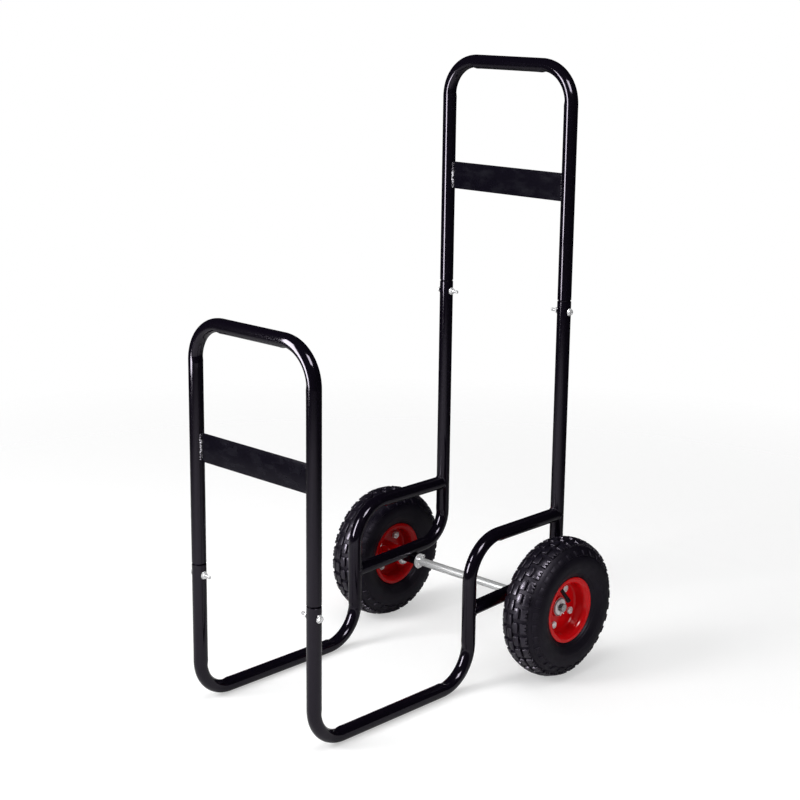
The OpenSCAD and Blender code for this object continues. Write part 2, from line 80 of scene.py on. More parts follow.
# Places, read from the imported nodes

rail_low, rail_high = node_box("right_side_rail")
front_low, front_high = node_box("front_hoop")
rear_low, rear_high = node_box("rear_hoop")
sleeve_low, sleeve_high = node_box("right_axle_sleeve")
TUBE_R = (rail_high.x - rail_low.x) / 2
BORE_R = TUBE_R - TUBE_WALL
SPIGOT_R = BORE_R - SLIDE_GAP
SIDE_X = (rail_high.x + rail_low.x) / 2
FRONT_Y = rail_low.y + TUBE_R
MID_Y = FRONT_Y + MID_POST_BACK
REAR_Y = rear_high.y - TUBE_R
UPPER_Z = rail_high.z - TUBE_R
REAR_JOINT_Z = node_box("right_rear_post")[1].z
SPIGOT_LEN = REAR_JOINT_Z - rear_low.z
FRONT_JOINT_Z = front_low.z + SPIGOT_LEN
FRONT_TOP_Z = front_high.z - TUBE_R
REAR_TOP_Z = rear_high.z - TUBE_R
AXLE_Y = (sleeve_low.y + sleeve_high.y) / 2
AXLE_Z = (sleeve_low.z + sleeve_high.z) / 2
OVER_AXLE = ((sleeve_high.z - sleeve_low.z) / 2 + TUBE_R + PIECE_GAP) / math.cos(SLOPE)
RAIL_END_Z = AXLE_Z + OVER_AXLE - (AXLE_Y - MID_Y) * math.tan(SLOPE)
TAIL_Z = AXLE_Z + OVER_AXLE + (REAR_Y - AXLE_Y) * math.tan(SLOPE)
WHEEL_X = node_box("right_hub")[1].x - HUB_OUT
WHEEL_R = AXLE_Z


# Mesh building

EDGE_ANGLE, TREAD_ANGLE, BEAD_ANGLE = 32, 38, 60  # degrees, above which an edge is drawn sharp


class Shape:
    """Vertices and faces in millimetres, gathered from several forms."""

    def __init__(self):
        self.verts = []
        self.faces = []

    def add(self, rings, loop=False, first_cap=True):
        """Joins rings of points with quads; loop joins the last ring to the first."""
        base, count, size = len(self.verts), len(rings), len(rings[0])
        for ring in rings:
            self.verts.extend(Vector(p) for p in ring)
        for i in range(count if loop else count - 1):
            a, b = base + i * size, base + (i + 1) % count * size
            for k in range(size):
                n = (k + 1) % size
                self.faces.append((a + k, a + n, b + n, b + k))
        if not loop:
            if first_cap:
                self.faces.append(tuple(reversed(range(base, base + size))))
            end = base + (count - 1) * size
            self.faces.append(tuple(range(end, end + size)))
        return self

    def join(self, other, matrix=None):
        """Takes in another shape, moved by a matrix if there is one."""
        base = len(self.verts)
        self.verts.extend((matrix @ v) if matrix else v.copy() for v in other.verts)
        self.faces.extend(tuple(base + i for i in f) for f in other.faces)
        return self


def new_object(name, data):
    """Puts mesh, lamp or camera data into the scene."""
    obj = bpy.data.objects.new(name, data)
    bpy.context.scene.collection.objects.link(obj)
    return obj


def mesh_object(name, shape, material, body, replaced=(), smooth=EDGE_ANGLE):
    """Makes one piece from a shape and puts it on a body."""
    mesh = bpy.data.meshes.new(name)
    mesh.from_pydata([tuple(v * MM) for v in shape.verts], [], shape.faces)
    work = bmesh.new()
    work.from_mesh(mesh)
    bmesh.ops.recalc_face_normals(work, faces=work.faces)
    work.to_mesh(mesh)
    work.free()
    mesh.polygons.foreach_set("use_smooth", [True] * len(mesh.polygons))
    mesh.set_sharp_from_angle(angle=math.radians(smooth))
    mesh.materials.append(material)
    obj = new_object(name, mesh)
    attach(obj, body)
    if replaced:
        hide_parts(*replaced)


def painted(name, shape, replaced=(), smooth=EDGE_ANGLE):
    """Makes one piece of the black frame."""
    mesh_object(name, shape, FRAME_PAINT, "frame", replaced, smooth)


def lathe(profile, count):
    """Turns a closed profile of (u, r) points about X."""
    rings = []
    for i in range(count):
        a = math.tau * i / count
        rings.append([(u, r * math.cos(a), r * math.sin(a)) for u, r in profile])
    return Shape().add(rings, loop=True)


def arc(cu, cr, radius, start, end, steps):
    """Points on an arc in (u, r), with angles in degrees from +u towards +r."""
    out = []
    for i in range(steps + 1):
        a = math.radians(start + (end - start) * i / steps)
        out.append((cu + radius * math.cos(a), cr + radius * math.sin(a)))
    return out


def sweep(points, radius, sides, loop=False):
    """Round wire along points; radius is a number or a function of the distance along it."""
    pts = [Vector(p) for p in points]
    count = len(pts)
    angles = [math.tau * k / sides for k in range(sides)]
    normal = None
    rings, run = [], 0.0
    for i, p in enumerate(pts):
        if loop:
            tangent = (pts[(i + 1) % count] - pts[i - 1]).normalized()
        else:
            tangent = (pts[min(i + 1, count - 1)] - pts[max(i - 1, 0)]).normalized()
        if normal is None:
            seed = Vector((1, 0, 0)) if abs(tangent.x) < 0.8 else Vector((0, 0, 1))
            normal = (seed - tangent * seed.dot(tangent)).normalized()
        normal = (normal - tangent * normal.dot(tangent)).normalized()
        side = tangent.cross(normal)
        r = radius(run) if callable(radius) else radius
        rings.append([p + normal * (r * math.cos(a)) + side * (r * math.sin(a)) for a in angles])
        if i + 1 < count:
            run += (pts[i + 1] - p).length
    return Shape().add(rings, loop=loop)


def on_x(x, y, z, sign=1, turn=0):
    """Matrix that turns a form about X, mirrors it to one side and moves it to (x, y, z)."""
    return (Matrix.Translation((x, y, z)) @ Matrix.Diagonal((sign, 1, 1, 1))
            @ Matrix.Rotation(math.radians(turn), 4, "X"))


# Material nodes

NOISE_LOW, NOISE_HIGH = 0.3, 0.7  # most of a noise lies between these


def node_tree(name):
    """New material, with its nodes, its links and its shader."""
    material = bpy.data.materials.new(name)
    material.use_nodes = True
    nodes, links = material.node_tree.nodes, material.node_tree.links
    return material, nodes, links, nodes["Principled BSDF"]


def textured(nodes, links, scale, detail, stretch=None):
    """Noise on the object's own coordinates, stretched along an axis if asked."""
    place = nodes.new("ShaderNodeTexCoord")
    noise = nodes.new("ShaderNodeTexNoise")
    noise.inputs["Scale"].default_value = scale
    noise.inputs["Detail"].default_value = detail
    if stretch:
        mapping = nodes.new("ShaderNodeMapping")
        mapping.inputs["Scale"].default_value = stretch
        links.new(place.outputs["Object"], mapping.inputs["Vector"])
        links.new(mapping.outputs["Vector"], noise.inputs["Vector"])
    else:
        links.new(place.outputs["Object"], noise.inputs["Vector"])
    return noise


def spread(nodes, links, source, low, high, out_low, out_high):
    """Maps a value from one range onto another."""
    ramp = nodes.new("ShaderNodeMapRange")
    ramp.inputs["From Min"].default_value = low
    ramp.inputs["From Max"].default_value = high
    ramp.inputs["To Min"].default_value = out_low
    ramp.inputs["To Max"].default_value = out_high
    links.new(source, ramp.inputs["Value"])
    return ramp.outputs["Result"]


def along(nodes, links, source, direction):
    """Distance of a place along a direction."""
    dot = nodes.new("ShaderNodeVectorMath")
    dot.operation = "DOT_PRODUCT"
    links.new(source, dot.inputs[0])
    dot.inputs[1].default_value = direction
    return dot.outputs["Value"]


def combined(nodes, links, operation, first, second=0.0):
    """Two values joined by an operation; the second may be a plain number."""
    math_node = nodes.new("ShaderNodeMath")
    math_node.operation = operation
    links.new(first, math_node.inputs[0])
    if isinstance(second, (int, float)):
        math_node.inputs[1].default_value = second
    else:
        links.new(second, math_node.inputs[1])
    return math_node.outputs["Value"]


def mixed(nodes, links, first, second, factor, kind="FLOAT"):
    """Blend of two values or colours, each a constant or an output, by an output."""
    mix = nodes.new("ShaderNodeMix")
    mix.data_type = kind
    for name, value in (("A", first), ("B", second)):
        if isinstance(value, bpy.types.NodeSocket):
            links.new(value, mix.inputs[name])
        else:
            mix.inputs[name].default_value = value
    links.new(factor, mix.inputs["Factor"])
    return mix.outputs["Result"]


def bumped(nodes, links, shader, source, strength, distance):
    """Raises the surface by a noise."""
    bump = nodes.new("ShaderNodeBump")
    bump.inputs["Strength"].default_value = strength
    bump.inputs["Distance"].default_value = distance
    links.new(source, bump.inputs["Height"])
    links.new(bump.outputs["Normal"], shader.inputs["Normal"])


# Materials

def coating(name, colour, roughness, level, tint, patches, uneven, grain, bump):
    """One colour with a tinted gloss, a roughness that varies in patches, and a fine grain."""
    material, nodes, links, shader = node_tree(name)
    shader.inputs["Base Color"].default_value = (*colour, 1)
    shader.inputs["Specular IOR Level"].default_value = level
    shader.inputs["Specular Tint"].default_value = (*tint, 1)
    noise = textured(nodes, links, *patches)
    links.new(spread(nodes, links, noise.outputs["Fac"], NOISE_LOW, NOISE_HIGH,
                     roughness * 0.85, roughness * uneven), shader.inputs["Roughness"])
    fine = textured(nodes, links, *grain)
    bumped(nodes, links, shader, fine.outputs["Fac"], *bump)
    return material


def paint(name, colour, roughness, level, peel, tint=(1.0, 1.0, 1.0)):
    """Powder coat or enamel: fine orange peel, with a roughness that varies a little."""
    return coating(name, colour, roughness, level, tint, patches=(14.0, 3.0), uneven=1.2,
                   grain=(350.0, 2.0), bump=(peel, 0.0002))


def rubber(name, colour, roughness, level):
    """Moulded black rubber or plastic."""
    return coating(name, colour, roughness, level, GLOSS_TINT, patches=(60.0, 5.0), uneven=1.15,
                   grain=(700.0, 3.0), bump=(0.12, 0.0003))


def marked(material, shade, scale, stretch, turn, start, full):
    """Lays lighter marks over a paint, drawn out along an axis and turned about Y."""
    nodes, links = material.node_tree.nodes, material.node_tree.links
    base = nodes["Principled BSDF"].inputs["Base Color"]
    marks = textured(nodes, links, scale, 6.0, stretch)
    mapping = marks.inputs["Vector"].links[0].from_node
    mapping.inputs["Rotation"].default_value = (0, math.radians(turn), 0)
    factor = spread(nodes, links, marks.outputs["Fac"], start, full, 0.0, 1.0)
    links.new(mixed(nodes, links, base.default_value, (*shade, 1), factor, "RGBA"), base)
    return material


def metal(name, colour, roughness, scale, streaks=None, uneven=0.25, metallic=1.0):
    """Zinc plate or steel, with uneven brightness and, if asked, streaks along an axis."""
    material, nodes, links, shader = node_tree(name)
    shader.inputs["Metallic"].default_value = metallic
    noise = textured(nodes, links, scale, 5.0, streaks)
    factor = spread(nodes, links, noise.outputs["Fac"], 0.35, 0.62, 0.0, 1.0)
    darker_colour = (*[c * (1 - uneven) for c in colour], 1)
    links.new(mixed(nodes, links, darker_colour, (*colour, 1), factor, "RGBA"), shader.inputs["Base Color"])
    links.new(spread(nodes, links, noise.outputs["Fac"], NOISE_LOW, NOISE_HIGH,
                     roughness * 1.35, roughness * 0.8), shader.inputs["Roughness"])
    bumped(nodes, links, shader, noise.outputs["Fac"], 0.15, 0.0003)
    return material


def paint_dark_reflection(material, start, end):
    """Paints a dark reflection in blotches onto a rod, between two distances from the middle, where
    it sticks out.
    """
    nodes, links = material.node_tree.nodes, material.node_tree.links
    base = nodes["Principled BSDF"].inputs["Base Color"]
    place = nodes.new("ShaderNodeTexCoord")
    parts = nodes.new("ShaderNodeSeparateXYZ")
    links.new(place.outputs["Object"], parts.inputs["Vector"])
    away = combined(nodes, links, "ABSOLUTE", parts.outputs["X"])
    blotches = textured(nodes, links, 380.0, 4.0)
    shade = spread(nodes, links, blotches.outputs["Fac"], 0.42, 0.62, 0.0, 1.0)
    darker_colour = mixed(nodes, links, (0.015, 0.014, 0.016, 1), (0.42, 0.42, 0.43, 1), shade, "RGBA")
    stub = combined(nodes, links, "MULTIPLY",
                    spread(nodes, links, away, start, start + 0.0003, 0.0, 1.0),
                    spread(nodes, links, away, end - 0.0004, end - 0.0001, 1.0, 0.45))
    links.new(mixed(nodes, links, base.links[0].from_socket, darker_colour, stub, "RGBA"), base)
    return material


GLOSS_TINT = (0.92, 0.84, 1.0)
PLAIN_BLACK = (0.005, 0.0046, 0.0058)
FRAME_PAINT = paint("frame_paint", (0.0027, 0.0019, 0.0044), roughness=0.10, level=0.36, peel=0.002,
                    tint=GLOSS_TINT)
BAR_PAINT = marked(
    paint("crossbar_paint", (0.0037, 0.0031, 0.0062), roughness=0.14, level=0.13, peel=0.01,
          tint=GLOSS_TINT),
    shade=(0.0100, 0.0095, 0.0135), scale=34.0, stretch=(1.0, 1.0, 2.2), turn=24,
    start=0.46, full=0.72)
# The silvery spots on this bead paint are painted glints: light caught by the ripples.
WELD_GLINT_PAINT = marked(
    paint("weld_paint_glints", (0.0045, 0.0040, 0.0060), roughness=0.22, level=0.5, peel=0.3,
          tint=GLOSS_TINT),
    shade=(0.62, 0.61, 0.64), scale=130.0, stretch=(1.0, 1.0, 1.0), turn=0, start=0.50, full=0.60)
ZINC = metal("zinc", (0.93, 0.93, 0.94), roughness=0.22, scale=180.0, metallic=0.45)
# Brighter, less metallic copy of the zinc for the outer washers and pins: painted light.
OUTER_ZINC_LIT = metal("zinc_outer_lit", (0.96, 0.96, 0.97), roughness=0.24, scale=180.0, metallic=0.12)
# The axle's ends that stick out carry a painted dark reflection in blotches.
AXLE_ZINC = paint_dark_reflection(
    metal("axle_zinc", (0.86, 0.865, 0.87), roughness=0.28, scale=420.0, streaks=(0.03, 1.0, 1.0),
          uneven=0.35, metallic=0.6),
    start=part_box("outer_washers")[1].x, end=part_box("axle")[1].x)
STEEL = metal("bearing_steel", (0.45, 0.46, 0.48), roughness=0.4, scale=120.0)
TYRE = rubber("tyre_rubber", (0.0034, 0.0023, 0.0068), roughness=0.48, level=0.29)
TREAD = rubber("tread_rubber", (0.0030, 0.0021, 0.0062), roughness=0.33, level=0.76)
TUBE_RUBBER = rubber("tube_rubber", PLAIN_BLACK, roughness=0.42, level=0.35)
CAP_PLASTIC = rubber("cap_plastic", PLAIN_BLACK, roughness=0.3, level=0.4)
RED = paint("rim_paint", (0.58, 0.0020, 0.0042), roughness=0.11, level=0.36, peel=0.006)
# Darker copy of the rim red for the inner rim halves: painted shade.
RED_PAINTED_SHADE = paint("rim_paint_painted_shade", (0.36, 0.0008, 0.0020), roughness=0.16, level=0.22,
                   peel=0.006)


# Bent tube

FLAT, RAMP = 1.9, 9.0  # how far a bend's inner side is pressed in, and over what length it grows
OUTER_SHARE = 0.12  # of that on the bend's outer side
FLAT_FROM = 0.15  # cosine round the tube at which the pressed side begins
SWELL, SWELL_LEN, SWELL_REACH = 0.4, 3, 13  # of the small bulge beside a bend's inner side
STATION = 50.0  # between rings on straight tube
NEAR_BEND = (1.5, 3.0, 4.5, 6.0, 9.0, 12.0)  # further rings beside a bend
BEND_STEPS, TUBE_SIDES = 30, 56


def smooth_step(t):
    """Eases from 0 to 1."""
    t = min(max(t, 0.0), 1.0)
    return t * t * (3 - 2 * t)


def bulge(d):
    """Swelling, as negative flattening, at a distance from a bend."""
    return -SWELL * (d / SWELL_LEN) * math.exp(1 - d / SWELL_LEN)


def cross_sign(a, b):
    """Way in which the path turns from one direction to the next."""
    return 1 if a.x * b.y - a.y * b.x > 0 else -1


def route(corners, radii):
    """Stations along a path with bends, as (point, tangent, flattening, inner side, distance)."""
    pts = [Vector(c) for c in corners]
    out, run = [], 0.0
    start, turn = pts[0], 1
    for i in range(len(pts) - 1):
        direction = (pts[i + 1] - pts[i]).normalized()
        last = i == len(pts) - 2
        end, turn_before = pts[i + 1], turn
        if not last:
            onward = (pts[i + 2] - pts[i + 1]).normalized()
            turn = cross_sign(direction, onward)
            swing = math.acos(direction.dot(onward))
            reach = radii[i] * math.tan(swing / 2)
            end = pts[i + 1] - direction * reach
        length = (end - start).length
        marks = {0.0, length}
        marks.update(STATION * k for k in range(1, int(length / STATION) + 1)
                     if STATION * k < length - NEAR_BEND[-1])
        if i > 0:
            marks.update(d for d in NEAR_BEND if d < length)
        if not last:
            marks.update(length - d for d in NEAR_BEND if d < length)
        for d in sorted(marks):
            flat, side = 0.0, 1
            if i > 0 and d < SWELL_REACH:
                flat, side = bulge(d), turn_before
            if not last and length - d < SWELL_REACH:
                flat, side = bulge(length - d), turn
            out.append((start + direction * d, direction, flat, side, run + d))
        run += length
        if last:
            break
        left = Vector((-direction.y, direction.x))
        centre = end + left * (turn * radii[i])
        bend_len = radii[i] * swing
        for k in range(1, BEND_STEPS):
            a = swing * k / BEND_STEPS
            d = radii[i] * a
            ramp = min(smooth_step(d / RAMP), smooth_step((bend_len - d) / RAMP))
            p = (centre - left * (turn * radii[i] * math.cos(a))
                 + direction * (radii[i] * math.sin(a)))
            tangent = direction * math.cos(a) + left * (turn * math.sin(a))
            out.append((p, tangent, FLAT * ramp, turn, run + d))
        run += bend_len
        start = pts[i + 1] + onward * reach
    return out, run


def pressed(cosine):
    """Share of the flattening at a place round the tube."""
    return smooth_step((cosine - FLAT_FROM) / (1 - FLAT_FROM))


def tube_ring(place, p, tangent, radius, flat=0.0, side=1):
    """Ring of the tube at one station; place turns (p, q, off) into (x, y, z)."""
    left = Vector((-tangent.y, tangent.x))
    ring = []
    for k in range(TUBE_SIDES):
        a = math.tau * k / TUBE_SIDES
        across = radius * math.cos(a)
        across -= side * flat * pressed(side * math.cos(a))
        across += side * OUTER_SHARE * max(flat, 0.0) * pressed(-side * math.cos(a))
        q = p + left * across
        ring.append(place(q.x, q.y, radius * math.sin(a)))
    return ring


def bent_tube(place, corners, radii, start_rings, end_rings):
    """Tube along a path, with end rings as listed below."""
    stations, total = route(corners, radii)
    first, last = stations[0], stations[-1]
    rings = [tube_ring(place, first[0] + first[1] * d, first[1], r) for d, r in start_rings]
    low = start_rings[-1][0]
    high = total - end_rings[-1][0]
    for p, tangent, flat, side, run in stations:
        if low + 0.01 < run < high - 0.01:
            rings.append(tube_ring(place, p, tangent, TUBE_R, flat, side))
    rings += [tube_ring(place, last[0] - last[1] * d, last[1], r) for d, r in reversed(end_rings)]
    return Shape().add(rings)


# End rings as (distance in from that end, radius), from the outermost inwards: an open stub with
# its edge taken off, an end hidden against another tube, and a reduced end with its neck
STUB = [(14, BORE_R), (0.0, BORE_R), (0.0, TUBE_R - 0.6), (0.12, TUBE_R - 0.35), (0.5, TUBE_R)]
HIDDEN_END = [(0.5, TUBE_R * 0.6), (0.5, TUBE_R)]
REDUCED = [(-10, SPIGOT_R), (1.5, SPIGOT_R), (2.0, SPIGOT_R + 0.25), (NECK_H - 0.35, TUBE_R - 0.5),
           (NECK_H, TUBE_R), (NECK_H + 0.6, TUBE_R), (NECK_H + 1.6, TUBE_R)]

BEAD_STEP, BEAD_SIDES = 0.55, 12
BEAD_UNEVEN = (0.86, 1.1)  # least and greatest ripple
RIPPLE_LOW, END_LOW, END_LEN = 0.74, 0.35, 2.5  # radius between ripples and at an open end
TUBE_WELD_R, TUBE_WELD_STEPS = 1.55, 48
TUBE_WELD_OUT, TUBE_WELD_BACK = 0.3, 0.35  # off the one tube, and off the other
SLEEVE_WELD_R, SLEEVE_WELD_HALF = 2.3, 11.5
SLEEVE_WELD_Y, SLEEVE_WELD_Z = 5.4, 9.4  # from the axle


def bead(points, radius, seed, loop=False, pitch=2.3):
    """Weld bead: a run of overlapping ripples."""
    rng = random.Random(seed)
    fine = []
    pts = [Vector(p) for p in points]
    spans = zip(pts, pts[1:] + pts[:1]) if loop else zip(pts, pts[1:])
    for a, b in spans:
        steps = max(1, round((b - a).length / BEAD_STEP))
        fine.extend(a.lerp(b, i / steps) for i in range(steps))
    if not loop:
        fine.append(pts[-1])
    length = sum((b - a).length for a, b in zip(fine, fine[1:]))
    wobble = [rng.uniform(*BEAD_UNEVEN) for _ in range(int(length / pitch) + 3)]

    def thick(run):
        """Radius at a distance: ripples that swell and fall off, and thin ends on an open bead."""
        i = int(run / pitch)
        t = run / pitch - i
        swell = math.sin(math.pi * min(1.0, t * 1.25)) ** 0.6
        r = radius * wobble[i] * (RIPPLE_LOW + (1 - RIPPLE_LOW) * swell)
        if not loop:
            r *= END_LOW + (1 - END_LOW) * smooth_step(min(run, length - run) / END_LEN)
        return r

    return sweep(fine, thick, BEAD_SIDES, loop)


def make_side(name, sign):
    """Rail and rear post of one side, with the beads that join them and the axle's sleeve."""
    def place(y, z, off):
        return (sign * SIDE_X + off, y, z)

    rail = [(FRONT_Y, FRONT_JOINT_Z), (FRONT_Y, TUBE_R), (MID_Y, TUBE_R), (MID_Y, UPPER_Z),
            (REAR_Y, UPPER_Z)]
    painted(f"{name}_rail_tube", bent_tube(place, rail, [FOOT_R, HEEL_R, RAIL_R], STUB, HIDDEN_END),
            [f"{name}_side_rail"])
    post = [(REAR_Y, REAR_JOINT_Z), (REAR_Y, TAIL_Z), (MID_Y, RAIL_END_Z)]
    painted(f"{name}_post_tube", bent_tube(place, post, [TAIL_R], STUB, HIDDEN_END),
            [f"{name}_rear_post"])
    ring_r = TUBE_R + TUBE_WELD_OUT
    for tag, y, z, way in (("upper", REAR_Y, UPPER_Z, -1), ("axle_rail", MID_Y, RAIL_END_Z, 1)):
        curve = []
        for k in range(TUBE_WELD_STEPS):
            a = math.tau * k / TUBE_WELD_STEPS
            reach = TUBE_R * abs(math.cos(a)) + TUBE_WELD_BACK
            curve.append((sign * SIDE_X + ring_r * math.sin(a), y + way * reach,
                          z + ring_r * math.cos(a)))
        painted(f"{name}_{tag}_weld", bead(curve, TUBE_WELD_R, f"{name}{tag}", loop=True),
                smooth=BEAD_ANGLE)
    welds = Shape()
    for side in (-1, 1):
        line = [(sign * (SIDE_X + d), AXLE_Y + side * SLEEVE_WELD_Y, AXLE_Z + SLEEVE_WELD_Z)
                for d in (-SLEEVE_WELD_HALF, SLEEVE_WELD_HALF)]
        welds.join(bead(line, SLEEVE_WELD_R, f"{name}sleeve{side}"))
    painted(f"{name}_sleeve_welds", welds, smooth=BEAD_ANGLE)


def make_hoop(name, y, top, joint, radius):
    """Hoop with its two reduced ends."""
    def place(x, z, off):
        return (x, y + off, z)

    path = [(-SIDE_X, joint), (-SIDE_X, top), (SIDE_X, top), (SIDE_X, joint)]
    painted(f"{name}_hoop_tube", bent_tube(place, path, [radius, radius], REDUCED, REDUCED),
            [f"{name}_hoop"])


for name, sign in SIDES:
    make_side(name, sign)
make_hoop("front", FRONT_Y, FRONT_TOP_Z, FRONT_JOINT_Z, FRONT_HOOP_R)
make_hoop("rear", REAR_Y, REAR_TOP_Z, REAR_JOINT_Z, REAR_HOOP_R)


# Crossbars and their end welds

BAR_EDGE_R, BAR_STATIONS = 0.9, 24
BAR_WELD_R, BAR_WELD_PITCH = 2.8, 4.4
BAR_WELD_Y, BAR_WELD_END = 2.5, 1.5  # from the bar's middle plane, and from its edges
BAR_WELD_X = SIDE_X - math.sqrt(TUBE_R ** 2 - 2.4 ** 2) - 0.5  # just off the tube


def rounded_bar(low, high):
    """Flat bar along X with rounded long edges."""
    half_y, half_z = (high.y - low.y) / 2, (high.z - low.z) / 2
    section = []
    for cy, cz, start in ((half_y, half_z, 0), (-half_y, half_z, 90), (-half_y, -half_z, 180),
                          (half_y, -half_z, 270)):
        for k in range(5):
            a = math.radians(start + 22.5 * k)
            section.append((cy - math.copysign(BAR_EDGE_R, cy) + BAR_EDGE_R * math.cos(a),
                            cz - math.copysign(BAR_EDGE_R, cz) + BAR_EDGE_R * math.sin(a)))
    cy, cz = (high.y + low.y) / 2, (high.z + low.z) / 2
    rings = []
    for k in range(BAR_STATIONS + 1):
        x = low.x + (high.x - low.x) * k / BAR_STATIONS
        rings.append([(x, cy + py, cz + pz) for py, pz in section])
    return Shape().add(rings)


for name in ("front", "rear"):
    low, high = node_box(f"{name}_crossbar")
    mesh_object(f"{name}_bar", rounded_bar(low, high), BAR_PAINT, "frame",
                [f"{name}_crossbar"])
    mid_y = (low.y + high.y) / 2
    for tag, sign in SIDES:
        welds = Shape()
        for side in (-1, 1):
            line = [(sign * BAR_WELD_X, mid_y + side * BAR_WELD_Y, z)
                    for z in (low.z + BAR_WELD_END, high.z - BAR_WELD_END)]
            welds.join(bead(line, BAR_WELD_R, f"{name}{tag}{side}", pitch=BAR_WELD_PITCH))
        # Only the left welds get the painted glints; the right ones are plain frame paint.
        mesh_object(f"{name}_bar_{tag}_welds", welds, WELD_GLINT_PAINT if tag == "left" else FRAME_PAINT,
                    "frame", smooth=BEAD_ANGLE)


# Bolts and nuts

HEX_EASE, HEX_CORNER = 0.94, 1.13  # shares of half the width: the outer face and the corners
HEX_SLOPE = math.tan(math.radians(30))
HEX_BASE_EDGE, BORE_EDGE = 0.15, 0.5
HEX_POINTS, THREAD_POINTS = 72, 28  # round a ring
THREAD_RINGS, THREAD_DEPTH = 8, 0.62  # in a pitch, and as a share of it
POINT_RINGS, POINT_SHARE = 10, 0.2  # over which a rod's point is eased, and by how much
JOINT_HEX, RIM_HEX = 9.9, 12.8
JOINT_BOLT_R, JOINT_PITCH = 3.0, 1.0
THREAD_IN = 6  # of the joint bolts' drawn thread, inside the tube
RIM_BOLT_THREAD_R, RIM_PITCH = 4.0, 1.25
RIM_SEAT = 3.75  # of heads and nuts, from the wheel's middle plane


def hex_form(width, height, bore=0.0, recess=0.0):
    """Nut with a bore, or head with a recess, that stands from u = 0 to u = height."""
    flat_r = width / 2
    ease = flat_r * HEX_EASE
    angles = [math.tau * k / HEX_POINTS for k in range(HEX_POINTS)]
    hexagon = []
    for a in angles:
        sector = (a + math.pi / 6) % (math.pi / 3) - math.pi / 6
        hexagon.append(min(flat_r / math.cos(sector), flat_r * HEX_CORNER))

    def ring(radii, level):
        return [(level(r) if callable(level) else level, r * math.cos(a), r * math.sin(a))
                for a, r in zip(angles, radii)]

    def circle(r, level):
        return ring([r] * HEX_POINTS, level)

    rings = [circle(bore, 0.0)] if bore else []
    rings.append(ring([r - HEX_BASE_EDGE for r in hexagon], 0.0))
    rings.append(ring(hexagon, 0.2))
    rings.append(ring(hexagon, lambda r: height - (r - ease) * HEX_SLOPE))
    rings.append(circle(ease, height))
    if bore:
        rings.append(circle(bore + BORE_EDGE, height))
        rings.append(circle(bore, height - BORE_EDGE))
        return Shape().add(rings, loop=True)
    rings.append(circle(ease * 0.66, height))
    rings.append(circle(ease * 0.60, height - recess))
    rings.append(circle(ease * 0.3, height - recess * 1.2))
    return Shape().add(rings)


def thread(start, end, radius, pitch):
    """Threaded rod along u, with its point eased."""
    rings = []
    steps = int(abs(end - start) / pitch * THREAD_RINGS)
    for i in range(steps + 1):
        u = start + (end - start) * i / steps
        ease = min(1.0, (steps - i) / POINT_RINGS + 0.55)
        ring = []
        for k in range(THREAD_POINTS):
            a = math.tau * k / THREAD_POINTS
            phase = (u / pitch - k / THREAD_POINTS) % 1.0
            depth = THREAD_DEPTH * pitch * abs(2 * phase - 1)
            r = (radius - depth) * (1 - POINT_SHARE + POINT_SHARE * ease)
            ring.append((u, r * math.cos(a), r * math.sin(a)))
        rings.append(ring)
    return Shape().add(rings)


def thin_washer(start):
    """Small washer with a rounded rim, from u = start."""
    section = ((0.0, 3.2), (0.0, 7.0), (0.35, 7.3), (0.7, 7.0), (0.7, 3.2))
    return lathe([(start + u, r) for u, r in section], 48)


def make_joint_fasteners(name, y, z):
    """Bolt and nut with their washers, in both joints of a hoop."""
    bolt_end = node_box(f"{name}_joint_bolts")[1].x
    seat = SIDE_X + TUBE_R + PIECE_GAP
    nut_seat = SIDE_X - TUBE_R - PIECE_GAP
    tip = nut_seat - JOINT_NUT_H - BOLT_STICK_OUT
    for tag, sign in SIDES:
        at = on_x(0, y, z, sign)
        bolt = Shape().join(hex_form(JOINT_HEX, bolt_end - seat, recess=0.5),
                            on_x(seat, 0, 0, 1, 11 + 17 * sign))
        bolt.join(thin_washer(seat - 0.05))
        bolt.join(thread(-(SIDE_X - TUBE_R + THREAD_IN), -tip, JOINT_BOLT_R, JOINT_PITCH),
                  on_x(0, 0, 0, -1))
        mesh_object(f"{name}_{tag}_bolt", Shape().join(bolt, at), ZINC, "frame",
                    [f"{name}_joint_bolts"])
        nut = Shape().join(hex_form(JOINT_HEX, JOINT_NUT_H, bore=JOINT_BOLT_R + 0.05),
                           on_x(nut_seat, 0, 0, -1, 23 * sign))
        nut.join(thin_washer(0.0), on_x(nut_seat, 0, 0, -1))
        mesh_object(f"{name}_{tag}_nut", Shape().join(nut, at), ZINC, "frame",
                    [f"{name}_joint_nuts"])


make_joint_fasteners("front", FRONT_Y, FRONT_JOINT_Z - BOLT_DROP)
make_joint_fasteners("rear", REAR_Y, REAR_JOINT_Z - BOLT_DROP)


# Axle washers and split pins

PIN_WIRE_R, PIN_LEG = 0.8, 0.82  # and how far each leg runs from the pin's middle
PIN_EYE_R, PIN_EYE_Z = 3.35, 12.1
PIN_TOP, PIN_FORK, PIN_KNEE = 9.0, -8.6, -10.3
PIN_ENDS = ((5.6, -15.2), (-4.6, -15.6))


def washer_form(outer, inner=8.25):
    """Punched washer: one edge rounded by the punch, the other with a small burr."""
    points = [(0, inner + 0.3), (0.25, inner), (WASHER_T - 0.1, inner), (WASHER_T, inner + 0.15),
              (WASHER_T, outer - 0.2), (WASHER_T - 0.2, outer)]
    return lathe(points + arc(0.7, outer - 0.7, 0.7, 90, 180, 5), 96)


def bezier(a, b, c, steps):
    """Points on a curve from a to c, without a itself."""
    return [a.lerp(b, t).lerp(b.lerp(c, t), t) for t in (i / steps for i in range(1, steps + 1))]


